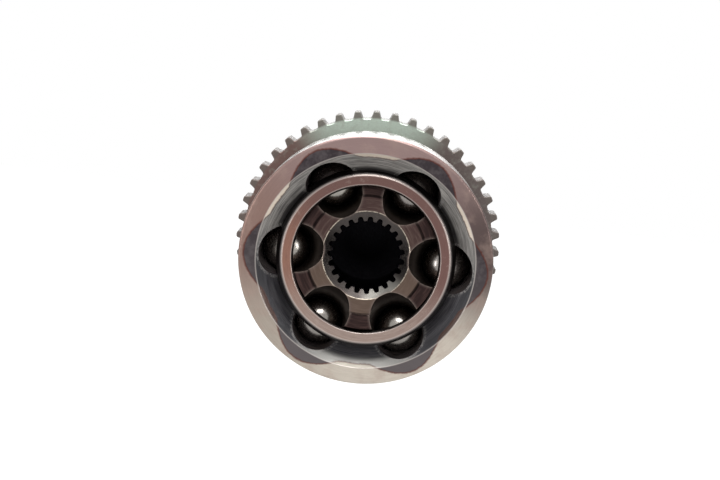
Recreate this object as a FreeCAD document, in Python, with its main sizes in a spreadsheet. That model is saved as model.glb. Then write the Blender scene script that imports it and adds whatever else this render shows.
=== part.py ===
import FreeCAD, Part
import math
import os
import Sketcher

# Wheel-side fixed constant-velocity joint: a bell with six curved ball tracks and a splined stub
# shaft, a toothed speed-sensor ring, and an inner race, ball cage and six balls inside the bell.
# Frame: origin at the joint centre. The bell's axis is Y, its mouth faces -Y and the stub shaft
# points along +Y. +Z is up. Ball 1 lies on +X and the joint bends about the X axis.

doc = FreeCAD.newDocument("cv_joint")

drivingSizes = [
    # alias, value in mm (angles in degrees), what it sets
    ("ball_count", 6, "balls, tracks and cage windows"),
    ("ball_diameter", 15.875, "ball"),
    ("pitch_radius", 27.5, "joint centre to ball centre when straight"),
    ("track_offset", 3.0, "track centre from joint centre, along the axis"),
    ("track_gap", 0.24, "ball to track"),
    ("window_gap", 0.3, "ball to the cage window's front and rear walls"),
    ("window_side_gap", 1.6, "ball to the cage window's side walls"),
    ("running_gap", 0.06, "cage to bell and inner race to cage"),
    ("rest_bend", 12.5, "bend of the joint as stored, mouth side up"),
    ("full_bend", 45.0, "largest bend of the joint"),
    ("track_run_out", 25.5, "bell track beyond its ball's last place, in degrees"),
    ("face_setback", 13.0, "bell face in front of the joint centre"),
    ("cone_rise", 5.14, "mouth cone's edge at the face, outside the bell's inner sphere"),
    ("cone_angle", 49.5, "mouth cone from the axis"),
    ("face_width", 5.8, "bell face, from the cone to the bell's outside"),
    ("bell_edge", 1.0, "rounding of the bell's outer edges"),
    ("cavity_floor_radius", 15.1, "flat floor of the cavity"),
    ("land_length", 17.0, "bell's front land, from the face"),
    ("boot_groove_depth", 2.7, "groove that holds the boot's bead, below the land"),
    ("boot_groove_width", 6.0, "boot groove"),
    ("ring_setback", 30.7, "sensor ring behind the bell face"),
    ("ring_seat_drop", 3.3, "sensor ring's seat below the bell's land"),
    ("ring_stop_height", 1.4, "shoulder in front of the sensor ring, above its seat"),
    ("ring_width", 8.0, "sensor ring"),
    ("ring_rim", 6.2, "sensor ring from its bore to the bottom of its teeth"),
    ("ring_tooth_height", 2.65, "sensor ring"),
    ("ring_teeth", 44, "sensor ring"),
    ("ring_tooth_tip", 2.2, "tooth width at its tip"),
    ("ring_tooth_base", 3.3, "tooth width at its base"),
    ("ring_tooth_phase", 6.3, "first gap from ball 1, in degrees"),
    ("bell_floor", 10.5, "bell wall behind the cavity"),
    ("bell_shoulder", 11.0, "rounding between the ring seat and the bell's back"),
    ("hub_seat_radius", 23.5, "face that the wheel hub's bearing presses on"),
    ("hub_seat_height", 4.0, "hub face behind the bell's back"),
    ("stub_root_radius", 14.6, "stub between the hub face and the spline"),
    ("stub_root_length", 4.0, "stub before the spline"),
    ("stub_spline_radius", 13.9, "stub spline over its teeth"),
    ("stub_spline_depth", 1.05, "stub spline tooth height"),
    ("stub_spline_length", 42.0, "stub spline"),
    ("stub_spline_teeth", 26, "stub spline"),
    ("stub_neck_radius", 9.9, "relief between the spline and the thread"),
    ("stub_neck_length", 3.0, "relief between the spline and the thread"),
    ("thread_radius", 11.0, "nut thread on the stub"),
    ("thread_length", 26.0, "nut thread on the stub"),
    ("stub_chamfer", 1.5, "lead-in at the stub's end and splines"),
    ("centre_hole_radius", 3.2, "lathe centre in the stub's end"),
    ("centre_hole_depth", 5.5, "lathe centre in the stub's end"),
    ("pin_hole_diameter", 4.0, "hole for the axle nut's split pin"),
    ("pin_hole_setback", 8.0, "split pin hole from the stub's end"),
    ("cage_outer_rise", 3.8, "cage's outer sphere, outside the ball centres"),
    ("cage_inner_drop", 0.64, "cage's inner sphere, inside the ball centres"),
    ("cage_half_width", 13.4, "cage rim from the joint centre"),
    ("cage_lip", 2.16, "rim's inner edge, inside the inner sphere"),
    ("cage_rim_chamfer", 0.6, "rim's edges"),
    ("window_corner", 3.5, "cage window corners"),
    ("race_half_width", 10.5, "inner race's boss face from the joint centre"),
    ("race_boss_width", 4.9, "inner race's boss face, from the bore chamfer outwards"),
    ("race_step", 0.6, "shoulder in front of the boss face, along the axis"),
    ("race_step_width", 0.5, "slope between the boss face and the shoulder"),
    ("race_shoulder_drop", 2.3, "outer edge of the race's shoulder, inside its sphere"),
    ("bore_radius", 11.4, "inner race's spline inside its teeth"),
    ("bore_chamfer_width", 3.3, "bore chamfer, outwards from the teeth's tips"),
    ("bore_chamfer_depth", 2.1, "bore chamfer"),
    ("spline_depth", 1.35, "inner race's spline tooth height"),
    ("spline_teeth", 23, "inner race's spline"),
    ("spline_space_root", 1.1, "width of a spline space at its bottom"),
    ("spline_space_mouth", 2.1, "width of a spline space at the teeth's tips"),
    ("spline_phase", 11.1, "first spline space from ball 1, in degrees"),
]

sheet = doc.addObject("Spreadsheet::Sheet", "Sizes")
for row, (alias, value, meaning) in enumerate(drivingSizes, start=1):
    sheet.set("A%d" % row, alias)
    sheet.set("B%d" % row, str(value))
    sheet.set("C%d" % row, meaning)
    sheet.setAlias("B%d" % row, alias)
doc.recompute()


class Size:
    """A number together with the spreadsheet expression that gives it."""

    def __init__(self, value, text):
        self.value = value
        self.text = text

    def join(self, other, sign, value):
        return Size(value, "(%s %s %s)" % (self.text, sign, asSize(other).text))

    def __add__(self, other):
        return self.join(other, "+", self.value + asSize(other).value)

    def __sub__(self, other):
        return self.join(other, "-", self.value - asSize(other).value)

    def __mul__(self, other):
        return self.join(other, "*", self.value * asSize(other).value)

    def __truediv__(self, other):
        return self.join(other, "/", self.value / asSize(other).value)

    def __neg__(self):
        return Size(-self.value, "(0 - %s)" % self.text)

    def __radd__(self, other):
        return asSize(other) + self

    def __rmul__(self, other):
        return asSize(other) * self

    def __rtruediv__(self, other):
        return asSize(other) / self


def asSize(number):
    return number if isinstance(number, Size) else Size(float(number), repr(number))


def root(size):
    return Size(math.sqrt(size.value), "sqrt(%s)" % size.text)


def sine(angle):
    return Size(math.sin(math.radians(angle.value)), "sin(%s * 1 deg)" % angle.text)


def cosine(angle):
    return Size(math.cos(math.radians(angle.value)), "cos(%s * 1 deg)" % angle.text)


def legOf(hypotenuse, leg):
    """The other leg of a right triangle: where a sphere or circle is at a given height."""
    return root(hypotenuse * hypotenuse - leg * leg)


class SheetSizes:
    """Gives each alias of the spreadsheet as a Size."""

    def __getattr__(self, alias):
        return Size(float(sheet.get(alias)), "Sizes.%s" % alias)


size = SheetSizes()
zero = Size(0.0, "0")


# ---- sketches and features ----

class Bend:
    """A round stretch of an outline, between the corners before and after it."""

    def __init__(self, centre, radius, turnsLeft):
        self.centre = centre
        self.radius = radius
        self.turnsLeft = turnsLeft


def originFeature(body, role):
    return [feature for feature in body.Origin.OriginFeatures if feature.Role == role][0]


def newSketch(body, name, planeRole, height=zero, turn=zero):
    """A sketch on a plane of the body, raised along the plane's normal and turned about it."""
    sketch = body.newObject("Sketcher::SketchObject", name)
    sketch.AttachmentSupport = (originFeature(body, planeRole), [""])
    sketch.MapMode = "FlatFace"
    sketch.setExpression("AttachmentOffset.Base.z", height.text)
    sketch.setExpression("AttachmentOffset.Rotation.Angle", "%s * 1 deg" % turn.text)
    return sketch


def holdPoint(sketch, edge, end, corner):
    """Ties one end of an edge to its place, measured from the sketch's origin."""
    for kind, place in zip(("DistanceX", "DistanceY"), corner):
        index = sketch.addConstraint(Sketcher.Constraint(kind, -1, 1, edge, end, place.value))
        sketch.setExpression("Constraints[%d]" % index, place.text)


def drawOutline(sketch, path):
    """A closed outline through the corners of path, straight where no Bend stands between two."""
    corners = []
    bends = {}
    for step in path:
        if isinstance(step, Bend):
            bends[len(corners) - 1] = step
        else:
            corners.append((asSize(step[0]), asSize(step[1])))
    ends = []
    for number, start in enumerate(corners):
        finish = corners[(number + 1) % len(corners)]
        startPoint = FreeCAD.Vector(start[0].value, start[1].value, 0)
        finishPoint = FreeCAD.Vector(finish[0].value, finish[1].value, 0)
        if number not in bends:
            sketch.addGeometry(Part.LineSegment(startPoint, finishPoint))
            ends.append((1, 2))
            continue
        bend = bends[number]
        centre = FreeCAD.Vector(asSize(bend.centre[0]).value, asSize(bend.centre[1]).value, 0)
        fromAngle = math.atan2(startPoint.y - centre.y, startPoint.x - centre.x)
        toAngle = math.atan2(finishPoint.y - centre.y, finishPoint.x - centre.x)
        circle = Part.Circle(centre, FreeCAD.Vector(0, 0, 1), bend.radius.value)
        if bend.turnsLeft:
            sketch.addGeometry(Part.ArcOfCircle(circle, fromAngle, toAngle))
            ends.append((1, 2))
        else:
            sketch.addGeometry(Part.ArcOfCircle(circle, toAngle, fromAngle))
            ends.append((2, 1))
    count = len(corners)
    for number in range(count):
        following = (number + 1) % count
        sketch.addConstraint(
            Sketcher.Constraint("Coincident", number, ends[number][1], following, ends[following][0]))
    for number, corner in enumerate(corners):
        holdPoint(sketch, number, ends[number][0], corner)
        if number in bends:
            index = sketch.addConstraint(
                Sketcher.Constraint("Radius", number, bends[number].radius.value))
            sketch.setExpression("Constraints[%d]" % index, bends[number].radius.text)


def drawCircle(sketch, centre, radius):
    middle = FreeCAD.Vector(centre[0].value, centre[1].value, 0)
    sketch.addGeometry(Part.Circle(middle, FreeCAD.Vector(0, 0, 1), radius.value))
    holdPoint(sketch, 0, 3, centre)
    index = sketch.addConstraint(Sketcher.Constraint("Radius", 0, radius.value))
    sketch.setExpression("Constraints[%d]" % index, radius.text)


def newBody(label, bend=zero):
    """A body that turns with the joint: bend lifts its mouth side about the X axis."""
    body = doc.addObject("PartDesign::Body", label)
    body.Label = label
    body.Placement = FreeCAD.Placement(
        FreeCAD.Vector(0, 0, 0), FreeCAD.Rotation(FreeCAD.Vector(1, 0, 0), -bend.value))
    body.setExpression("Placement.Rotation.Angle", "%s * 1 deg" % (-bend).text)
    return body


def revolve(body, name, path):
    """Turns an outline of (radius, place along Y) about the body's own Y axis."""
    sketch = newSketch(body, name + "Outline", "XY_Plane")
    drawOutline(sketch, path)
    feature = body.newObject("PartDesign::Revolution", name)
    feature.Profile = sketch
    feature.ReferenceAxis = (sketch, ["V_Axis"])
    feature.Angle = 360
    doc.recompute()
    return feature


def cuts(body, feature):
    """Rebuilds, and makes sure that a cut has taken material away."""
    before = body.Shape.Volume
    doc.recompute()
    if not body.Shape.Volume < before:
        raise RuntimeError("%s cuts nothing" % feature.Label)


def aroundAxis(body, feature, count):
    """Repeats a cut round the body's Y axis."""
    pattern = body.newObject("PartDesign::PolarPattern", feature.Name + "Pattern")
    pattern.Originals = [feature]
    pattern.Axis = (originFeature(body, "Y_Axis"), [""])
    pattern.Angle = 360
    pattern.Occurrences = int(count.value)
    pattern.setExpression("Occurrences", count.text)
    body.Tip = pattern
    cuts(body, pattern)


def cutTracks(body, name, centreAlongAxis, mouthAngle, rearAngle):
    """Ball tracks: a round section swung about a line through the track centre."""
    sketch = newSketch(body, name + "Section", "XZ_Plane", height=-centreAlongAxis)
    drawCircle(sketch, (trackSwing, zero), ballRadius + size.track_gap)
    track = body.newObject("PartDesign::Groove", name)
    track.Profile = sketch
    track.ReferenceAxis = (sketch, ["V_Axis"])
    track.Type = "TwoAngles"
    track.setExpression("Angle", "%s * 1 deg" % rearAngle.text)
    track.setExpression("Angle2", "%s * 1 deg" % mouthAngle.text)
    cuts(body, track)
    aroundAxis(body, track, size.ball_count)


# ---- shared places ----

ballRadius = size.ball_diameter / 2
trackSwing = root(size.pitch_radius * size.pitch_radius + size.track_offset * size.track_offset)
cageOuter = size.pitch_radius + size.cage_outer_rise
cageInner = size.pitch_radius - size.cage_inner_drop
bellSphere = cageOuter + size.running_gap
coneRadius = bellSphere + size.cone_rise
bellRadius = coneRadius + size.face_width
ringSeat = bellRadius - size.ring_seat_drop
ringStop = ringSeat + size.ring_stop_height
ringRoot = ringSeat + size.ring_rim
ringTip = ringRoot + size.ring_tooth_height
faceY = -size.face_setback
landEnd = faceY + size.land_length
ringFront = faceY + size.ring_setback
ringBack = ringFront + size.ring_width
cavityDepth = legOf(bellSphere, size.cavity_floor_radius)
bellBack = cavityDepth + size.bell_floor
hubSeat = bellBack + size.hub_seat_height
splineStart = hubSeat + size.stub_root_length
splineEnd = splineStart + size.stub_spline_length
threadStart = splineEnd + size.stub_neck_length
stubEnd = threadStart + size.thread_length


def buildOuterRace():
    """The bell and its stub shaft, one forging."""
    body = newBody("outer_race")
    # the mouth cone runs down from the face until it meets the inner sphere
    slope = coneRadius * sine(size.cone_angle) + size.face_setback * cosine(size.cone_angle)
    faceReach = coneRadius * coneRadius + faceY * faceY
    coneLength = slope - root(slope * slope - faceReach + bellSphere * bellSphere)
    coneEnd = (coneRadius - coneLength * sine(size.cone_angle),
               faceY + coneLength * cosine(size.cone_angle))
    grooveFloor = bellRadius - size.boot_groove_depth
    grooveEnd = landEnd + size.boot_groove_width
    edge = size.bell_edge
    lead = size.stub_chamfer
    bore = size.centre_hole_radius
    origin = (zero, zero)
    revolve(body, "bell", [
        (zero, cavityDepth),
        (size.cavity_floor_radius, cavityDepth),
        Bend(origin, bellSphere, turnsLeft=False),
        coneEnd,
        (coneRadius, faceY),
        (bellRadius - edge, faceY),
        Bend((bellRadius - edge, faceY + edge), edge, turnsLeft=True),
        (bellRadius, faceY + edge),
        (bellRadius, landEnd - edge),
        Bend((bellRadius - edge, landEnd - edge), edge, turnsLeft=True),
        (bellRadius - edge, landEnd),
        (grooveFloor, landEnd),
        (grooveFloor, grooveEnd),
        (ringStop, grooveEnd + ringStop - grooveFloor),
        (ringStop, ringFront),
        (ringSeat, ringFront),
        (ringSeat, bellBack - size.bell_shoulder),
        Bend((ringSeat - size.bell_shoulder, bellBack - size.bell_shoulder),
             size.bell_shoulder, turnsLeft=True),
        (ringSeat - size.bell_shoulder, bellBack),
        (size.hub_seat_radius, bellBack),
        (size.hub_seat_radius, hubSeat - edge),
        (size.hub_seat_radius - edge, hubSeat),
        (size.stub_root_radius + edge, hubSeat),
        Bend((size.stub_root_radius + edge, hubSeat + edge), edge, turnsLeft=False),
        (size.stub_root_radius, hubSeat + edge),
        (size.stub_root_radius, splineStart),
        (size.stub_spline_radius, splineStart),
        (size.stub_spline_radius, splineEnd - lead),
        (size.stub_spline_radius - lead, splineEnd),
        (size.stub_neck_radius, splineEnd),
        (size.stub_neck_radius, threadStart),
        (size.thread_radius, threadStart + size.thread_radius - size.stub_neck_radius),
        (size.thread_radius, stubEnd - lead),
        (size.thread_radius - lead, stubEnd),
        (bore, stubEnd),
        (zero, stubEnd - size.centre_hole_depth),
    ])
    cutTracks(body, "bellTrack", -size.track_offset, trackMouthAngle, trackRearAngle)
    cutStubSpline(body)
    cutPinHole(body)
    return body


def cutStubSpline(body):
    """Spline spaces from the stub's thread side up to the end of its plain root."""
    spaceRoot = size.stub_spline_radius - size.stub_spline_depth
    pitch = 2 * math.pi * size.stub_spline_radius / size.stub_spline_teeth
    sketch = newSketch(body, "stubSplineSpace", "XZ_Plane", height=-splineStart)
    drawSpace(sketch, spaceRoot, pitch * spaceRootShare, size.stub_spline_radius, pitch * spaceMouthShare)
    space = body.newObject("PartDesign::Pocket", "stubSpline")
    space.Profile = sketch
    space.setExpression("Length", size.stub_spline_length.text)
    cuts(body, space)
    aroundAxis(body, space, size.stub_spline_teeth)


def cutPinHole(body):
    """The hole across the thread for the axle nut's split pin."""
    sketch = newSketch(body, "pinHoleSection", "XY_Plane")
    drawCircle(sketch, (zero, stubEnd - size.pin_hole_setback), size.pin_hole_diameter / 2)
    hole = body.newObject("PartDesign::Pocket", "pinHole")
    hole.Profile = sketch
    hole.Type = "ThroughAll"
    hole.Midplane = True
    body.Tip = hole
    cuts(body, hole)


def drawSpace(sketch, bottomRadius, bottomWidth, mouthRadius, mouthWidth):
    """The gap between two teeth, on +X: straight flanks, carried on past the teeth's tips."""
    flare = (mouthWidth - bottomWidth) / (mouthRadius - bottomRadius)
    openRadius = mouthRadius + (mouthRadius - bottomRadius) / 2
    openWidth = mouthWidth + flare * (openRadius - mouthRadius)
    drawOutline(sketch, [
        (bottomRadius, -bottomWidth / 2),
        (openRadius, -openWidth / 2),
        (openRadius, openWidth / 2),
        (bottomRadius, bottomWidth / 2),
    ])


def buildToneRing():
    """The speed sensor's toothed ring, pressed on behind the boot groove."""
    body = newBody("tone_ring")
    revolve(body, "ring", [
        (ringSeat, ringFront),
        (ringTip, ringFront),
        (ringTip, ringBack),
        (ringSeat, ringBack),
    ])
    tipPitch = 2 * math.pi * ringTip / size.ring_teeth
    rootPitch = 2 * math.pi * ringRoot / size.ring_teeth
    sketch = newSketch(body, "ringGapOutline", "XZ_Plane", height=-ringFront, turn=size.ring_tooth_phase)
    drawSpace(sketch, ringRoot, rootPitch - size.ring_tooth_base, ringTip, tipPitch - size.ring_tooth_tip)
    gap = body.newObject("PartDesign::Pocket", "ringGap")
    gap.Profile = sketch
    gap.setExpression("Length", size.ring_width.text)
    cuts(body, gap)
    aroundAxis(body, gap, size.ring_teeth)
    return body


def buildCage():
    """The ball cage: a band of two concentric spheres with a window for each ball."""
    body = newBody("cage", bend=size.rest_bend / 2)
    rim = size.cage_half_width
    chamfer = size.cage_rim_chamfer
    # the rim's inner edge slopes on until it meets the inner sphere
    lip = cageInner - size.cage_lip
    lipDepth = legOf(cageInner, lip - chamfer)
    origin = (zero, zero)
    revolve(body, "cageBand", [
        (lip, -rim),
        (legOf(cageOuter, rim) - chamfer, -rim),
        (legOf(cageOuter, rim - chamfer), chamfer - rim),
        Bend(origin, cageOuter, turnsLeft=True),
        (legOf(cageOuter, rim - chamfer), rim - chamfer),
        (legOf(cageOuter, rim) - chamfer, rim),
        (lip, rim),
        (lip - chamfer, lipDepth),
        Bend(origin, cageInner, turnsLeft=False),
        (lip - chamfer, -lipDepth),
    ])
    halfHeight = ballRadius + size.window_gap
    halfWidth = ballRadius + size.window_side_gap
    corner = size.window_corner
    sketch = newSketch(body, "cageWindowOutline", "YZ_Plane")
    path = []
    for across, up, startsAcross in ((1, -1, True), (1, 1, False), (-1, 1, True), (-1, -1, False)):
        centre = (across * (halfHeight - corner), up * (halfWidth - corner))
        level = (centre[0], up * halfWidth)
        upright = (across * halfHeight, centre[1])
        path += [level if startsAcross else upright, Bend(centre, corner, turnsLeft=True),
                 upright if startsAcross else level]
    drawOutline(sketch, path)
    window = body.newObject("PartDesign::Pocket", "cageWindow")
    window.Profile = sketch
    window.setExpression("Length", (cageOuter + corner).text)
    window.Reversed = True
    cuts(body, window)
    aroundAxis(body, window, size.ball_count)
    return body


def buildInnerRace():
    """The inner race: a sphere with six tracks outside and the drive shaft's spline inside."""
    body = newBody("inner_race", bend=size.rest_bend)
    sphere = cageInner - size.running_gap
    boss = size.race_half_width
    shoulder = boss + size.race_step
    shoulderEdge = sphere - size.race_shoulder_drop
    chamferRadius = size.bore_radius + size.bore_chamfer_width
    bossRadius = chamferRadius + size.race_boss_width
    stepTop = bossRadius + size.race_step_width
    chamferEnd = boss - size.bore_chamfer_depth
    sphereEnd = legOf(sphere, shoulderEdge)
    revolve(body, "raceBody", [
        (size.bore_radius, -chamferEnd),
        (chamferRadius, -boss),
        (bossRadius, -boss),
        (stepTop, -shoulder),
        (shoulderEdge, -sphereEnd),
        Bend((zero, zero), sphere, turnsLeft=True),
        (shoulderEdge, sphereEnd),
        (stepTop, shoulder),
        (bossRadius, boss),
        (chamferRadius, boss),
        (size.bore_radius, chamferEnd),
    ])
    cutTracks(body, "raceTrack", size.track_offset, trackMouthAngle, trackMouthAngle)
    sketch = newSketch(body, "splineSpaceOutline", "XZ_Plane", turn=size.spline_phase)
    bottom = size.bore_radius + size.spline_depth
    drawOutline(sketch, [
        (bottom, -size.spline_space_root / 2),
        (bottom, size.spline_space_root / 2),
        (size.bore_radius - size.spline_depth, size.spline_space_mouth / 2),
        (size.bore_radius - size.spline_depth, -size.spline_space_mouth / 2),
    ])
    space = body.newObject("PartDesign::Pocket", "splineSpace")
    space.Profile = sketch
    space.Type = "ThroughAll"
    space.Midplane = True
    cuts(body, space)
    aroundAxis(body, space, size.spline_teeth)
    return body


def buildBall(number):
    """A ball where its track crosses the plane that halves the joint's bend."""
    ball = doc.addObject("Part::Sphere", "ball_%d" % number)
    ball.Label = "ball_%d" % number
    ball.setExpression("Radius", ballRadius.text)
    azimuth = 360 * (number - 1) / size.ball_count
    halfBend = size.rest_bend / 2
    lean = sine(azimuth) * sine(halfBend) / cosine(halfBend)
    offset = size.track_offset
    spread = 1 + lean * lean
    reach = (root(lean * lean * offset * offset + spread * size.pitch_radius * size.pitch_radius)
             - lean * offset) / spread
    place = (reach * cosine(azimuth), reach * lean, reach * sine(azimuth))
    for axis, distance in zip("xyz", place):
        ball.setExpression("Placement.Base." + axis, distance.text)
    return ball


trackMouthAngle = Size(80.0, "80")
trackRearAngle = size.full_bend / 2 + size.track_run_out
spaceRootShare = 0.34
spaceMouthShare = 0.60

parts = [buildOuterRace(), buildToneRing(), buildCage(), buildInnerRace()]
parts += [buildBall(number + 1) for number in range(int(size.ball_count.value))]
doc.recompute()

for item in doc.Objects:
    if "Invalid" in item.State or "Error" in item.State:
        raise RuntimeError("%s did not build" % item.Label)
for part in parts:
    if part.Shape.isNull() or not part.Shape.isValid():
        raise RuntimeError("%s has no valid shape" % part.Label)

os.makedirs("parts", exist_ok=True)
for part in parts:
    part.Shape.exportStep("parts/%s.step" % part.Label)
    print("%-12s %10.1f mm3  %d solid" % (part.Label, part.Shape.Volume, len(part.Shape.Solids)))
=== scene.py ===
import math
import bpy
from mathutils import Matrix, Vector


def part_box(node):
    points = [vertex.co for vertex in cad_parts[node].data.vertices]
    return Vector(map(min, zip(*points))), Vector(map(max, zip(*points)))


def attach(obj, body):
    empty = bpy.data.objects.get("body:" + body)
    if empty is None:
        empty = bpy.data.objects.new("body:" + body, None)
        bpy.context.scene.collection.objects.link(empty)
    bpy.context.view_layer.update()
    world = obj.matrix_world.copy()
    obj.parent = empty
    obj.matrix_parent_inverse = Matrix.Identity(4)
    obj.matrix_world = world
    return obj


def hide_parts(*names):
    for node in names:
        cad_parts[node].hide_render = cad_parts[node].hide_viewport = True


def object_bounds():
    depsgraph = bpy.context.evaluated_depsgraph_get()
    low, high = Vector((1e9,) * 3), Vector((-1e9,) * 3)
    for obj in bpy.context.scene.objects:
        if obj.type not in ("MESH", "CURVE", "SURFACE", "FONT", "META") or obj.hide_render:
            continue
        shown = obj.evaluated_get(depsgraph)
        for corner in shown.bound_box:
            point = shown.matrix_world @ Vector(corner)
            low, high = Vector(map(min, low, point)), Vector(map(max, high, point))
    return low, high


# A wheel-side constant-velocity joint, seen into its mouth.
# The bell's axis is Y, the mouth faces -Y, the stub shaft points along +Y, +Z is up.
# All sizes are in millimetres and degrees, apart from the stage's, which are in metres.

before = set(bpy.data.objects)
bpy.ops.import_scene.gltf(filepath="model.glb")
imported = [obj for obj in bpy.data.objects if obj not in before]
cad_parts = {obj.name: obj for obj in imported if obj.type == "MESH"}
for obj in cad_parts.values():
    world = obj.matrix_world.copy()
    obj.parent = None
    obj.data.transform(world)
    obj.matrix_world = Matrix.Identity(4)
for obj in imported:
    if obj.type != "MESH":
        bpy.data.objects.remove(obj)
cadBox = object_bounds()
mm = 0.001
mergeDistance = 0.002       # points closer than this are one
smoothAngle = 30            # faces that meet at less are shaded as one surface
print("frame loaded")

stageSizes = {
    "cameraPlace": (-0.0005, -0.2998, 0.06975),
    "cameraLooks": (-0.007, 0.977, -0.211),
    "cameraRoll": 6.4,
    "lens": 44.68,
    "sensor": 36,
    "nearest": 0.01,            # the camera sees nothing closer
    "floorBelow": 0.20,         # floor under the part's lowest point
    "floorSize": 3.0,
    "floorColour": (0.62, 0.62, 0.615, 1),
    "floorRoughness": 0.9,
    "floorLift": (0.03, 0.68),  # the paper's own white: near the part, beyond the lamps' reach
    "lampReach": 1.1,
    "roomLight": 0.55,
    # softbox above the mouth, two soft ones behind, low reflector, two narrow side panels:
    # name, place, aim, width, height, power
    "lamps": (
        ("keyLamp", (0.02, -0.32, 0.52), (0, 0, 0), 0.3, 0.2, 1.6),
        ("topLamp", (-0.05, 0.10, 0.6), (0, 0.02, 0), 0.5, 0.4, 5),
        ("backLamp", (0, 0.75, 0.3), (0, 0.02, 0.03), 0.7, 0.25, 2.5),
        ("lowPanel", (0.06, -0.33, -0.36), (0, 0, -0.01), 0.2, 0.08, 0.4),
        ("leftPanel", (-0.5, -0.36, 0.05), (0, 0, 0), 0.06, 0.25, 0.5),
        ("rightPanel", (0.5, -0.32, 0.15), (0, 0, 0), 0.06, 0.25, 0.5),
    ),
}


def placeCamera():
    s = stageSizes
    look = Vector(s["cameraLooks"]).normalized()
    across = (Vector((1, 0, 0)) - look.x * look).normalized()
    upward = (-look).cross(across)
    turn = math.radians(s["cameraRoll"])
    right = across * math.cos(turn) + upward * math.sin(turn)
    top = upward * math.cos(turn) - across * math.sin(turn)
    camera = bpy.data.objects.new("camera", bpy.data.cameras.new("camera"))
    bpy.context.scene.collection.objects.link(camera)
    camera.data.lens = s["lens"]
    camera.data.sensor_width = s["sensor"]
    camera.data.clip_start = s["nearest"]
    camera.matrix_world = Matrix.LocRotScale(
        Vector(s["cameraPlace"]), Matrix((right, top, -look)).transposed(), None)
    bpy.context.scene.camera = camera


def cameraSees(tree):
    # one for camera and mirror rays, nought for the rest
    rays = tree.nodes.new("ShaderNodeLightPath")
    seen = rays.outputs["Is Camera Ray"]
    for name in ("Is Glossy Ray", "Is Transmission Ray"):
        most = tree.nodes.new("ShaderNodeMath")
        most.operation = "MAXIMUM"
        tree.links.new(seen, most.inputs[0])
        tree.links.new(rays.outputs[name], most.inputs[1])
        seen = most.outputs[0]
    return seen


def addLamp(name, place, aim, width, height, power):
    lamp = bpy.data.lights.new(name, "AREA")
    lamp.shape = "RECTANGLE"
    lamp.size = width
    lamp.size_y = height
    lamp.energy = power
    holder = bpy.data.objects.new(name, lamp)
    bpy.context.scene.collection.objects.link(holder)
    direction = Vector(aim) - Vector(place)
    holder.matrix_world = Matrix.LocRotScale(
        Vector(place), direction.to_track_quat("-Z", "Y"), None)


def makeRoom():
    # white to the camera and in mirrors, a plain grey light on the part
    world = bpy.data.worlds.new("room")
    bpy.context.scene.world = world
    world.use_nodes = True
    tree = world.node_tree
    background = tree.nodes["Background"]
    background.inputs["Color"].default_value = (1, 1, 1, 1)
    strength = tree.nodes.new("ShaderNodeMapRange")
    strength.inputs["To Min"].default_value = stageSizes["roomLight"]
    tree.links.new(cameraSees(tree), strength.inputs["Value"])
    tree.links.new(strength.outputs[0], background.inputs["Strength"])


def makeFloor():
    s = stageSizes
    bpy.ops.mesh.primitive_plane_add(size=s["floorSize"], location=(0, 0, cadBox[0][2] - s["floorBelow"]))
    floor = bpy.context.object
    floor.name = "floor"
    paper = bpy.data.materials.new("whitePaper")
    paper.use_nodes = True
    tree = paper.node_tree
    shader = tree.nodes["Principled BSDF"]
    shader.inputs["Base Color"].default_value = s["floorColour"]
    shader.inputs["Roughness"].default_value = s["floorRoughness"]
    # lifts the paper to white where the lamps do not reach, and leaves the shadow
    spot = tree.nodes.new("ShaderNodeTexCoord")
    away = tree.nodes.new("ShaderNodeVectorMath")
    away.operation = "LENGTH"
    lift = tree.nodes.new("ShaderNodeMapRange")
    lift.interpolation_type = "SMOOTHSTEP"
    near, far = s["floorLift"]
    lift.inputs["From Max"].default_value = s["lampReach"]
    lift.inputs["To Min"].default_value = near
    lift.inputs["To Max"].default_value = far
    seen = tree.nodes.new("ShaderNodeMath")
    seen.operation = "MULTIPLY"
    tree.links.new(spot.outputs["Object"], away.inputs[0])
    tree.links.new(away.outputs["Value"], lift.inputs["Value"])
    tree.links.new(lift.outputs[0], seen.inputs[0])
    tree.links.new(cameraSees(tree), seen.inputs[1])
    shader.inputs["Emission Color"].default_value = (1, 1, 1, 1)
    tree.links.new(seen.outputs[0], shader.inputs["Emission Strength"])
    floor.data.materials.append(paper)


placeCamera()
makeRoom()
makeFloor()
for lampSizes in stageSizes["lamps"]:
    addLamp(*lampSizes)
bpy.context.scene.view_settings.view_transform = "Standard"
print("camera, floor and lamps placed")


def deselectAll():
    if bpy.context.object and bpy.context.object.mode != "OBJECT":
        bpy.ops.object.mode_set(mode="OBJECT")
    bpy.ops.object.select_all(action="DESELECT")


def makeActive(piece):
    deselectAll()
    piece.select_set(True)
    bpy.context.view_layer.objects.active = piece


def arc(radius, start, end, count):
    # a round stretch of an outline about the joint's centre, by angle from the radial direction
    points = []
    for step in range(count + 1):
        angle = math.radians(start + (end - start) * step / count)
        points.append((radius * math.cos(angle), radius * math.sin(angle), 0))
    return points


def softened(corners, closed, segments):
    # an outline of (radius, along, rounding) with its corners rounded
    longestShare = 0.48         # of a side that one rounding may take
    outline = []
    count = len(corners)
    for number, (radius, along, rounding) in enumerate(corners):
        here = Vector((radius, along))
        if not rounding or (not closed and number in (0, count - 1)):
            outline.append(here)
            continue
        back = Vector(corners[number - 1][:2]) - here
        ahead = Vector(corners[(number + 1) % count][:2]) - here
        half = back.angle(ahead) / 2
        reach = min(rounding / math.tan(half), longestShare * back.length, longestShare * ahead.length)
        fit = reach * math.tan(half)
        middle = (back.normalized() + ahead.normalized()).normalized()
        centre = here + middle * (fit / math.sin(half))
        start = here + back.normalized() * reach - centre
        end = here + ahead.normalized() * reach - centre
        for step in range(segments + 1):
            outline.append(centre + start.lerp(end, step / segments).normalized() * fit)
    return outline


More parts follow.
